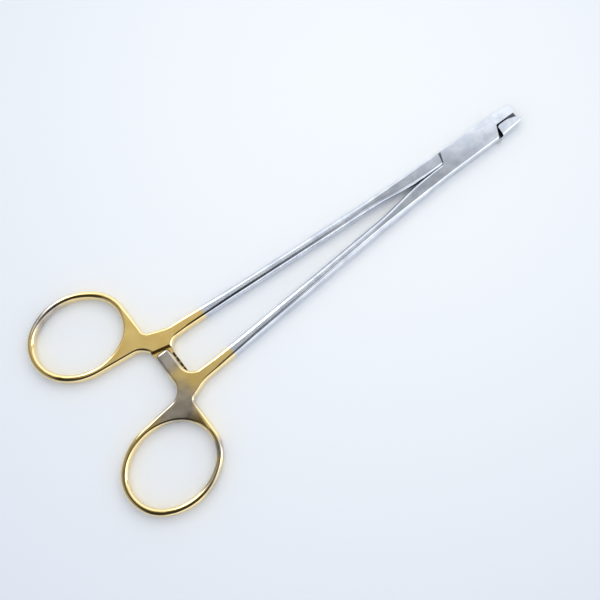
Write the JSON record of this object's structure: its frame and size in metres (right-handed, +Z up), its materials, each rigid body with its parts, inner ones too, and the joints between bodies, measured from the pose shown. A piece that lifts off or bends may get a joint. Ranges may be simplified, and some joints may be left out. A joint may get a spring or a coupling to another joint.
{
  "type": "surgical needle holder",
  "caption": "Straight locking surgical needle holder with finger rings, a ratchet between the handles, a box lock and short blunt jaws with carbide gripping plates.",
  "frame": {"origin": "under the middle of the length, on the line where the two halves meet, at the height that the instrument lies on", "axes": "+X towards the jaw tips, +Y towards the ring of the through half, +Z up out of the flat that the instrument lies on"},
  "size_m": [0.18, 0.0796, 0.0046],
  "materials": {
    "forged_steel": "satin stainless steel, with polished gold plating on the rings, necks and rear of the shanks",
    "pin_steel": "satin stainless steel, ground flush with the box",
    "carbide": "dark sintered tungsten carbide, ground and grooved"
  },
  "bodies": {
    "box_side": {"box_half": "forged_steel", "pivot_pin": "pin_steel", "box_jaw_insert": "carbide"},
    "through_side": {"through_half": "forged_steel", "through_jaw_insert": "carbide"}
  },
  "joints": [
    {"name": "lock_pivot", "type": "hinge", "parent": "box_side", "child": "through_side", "pos_m": [0.069, 0, 0.0023], "axis": [0, 0, -1], "range_deg": [0, 40]}
  ]
}
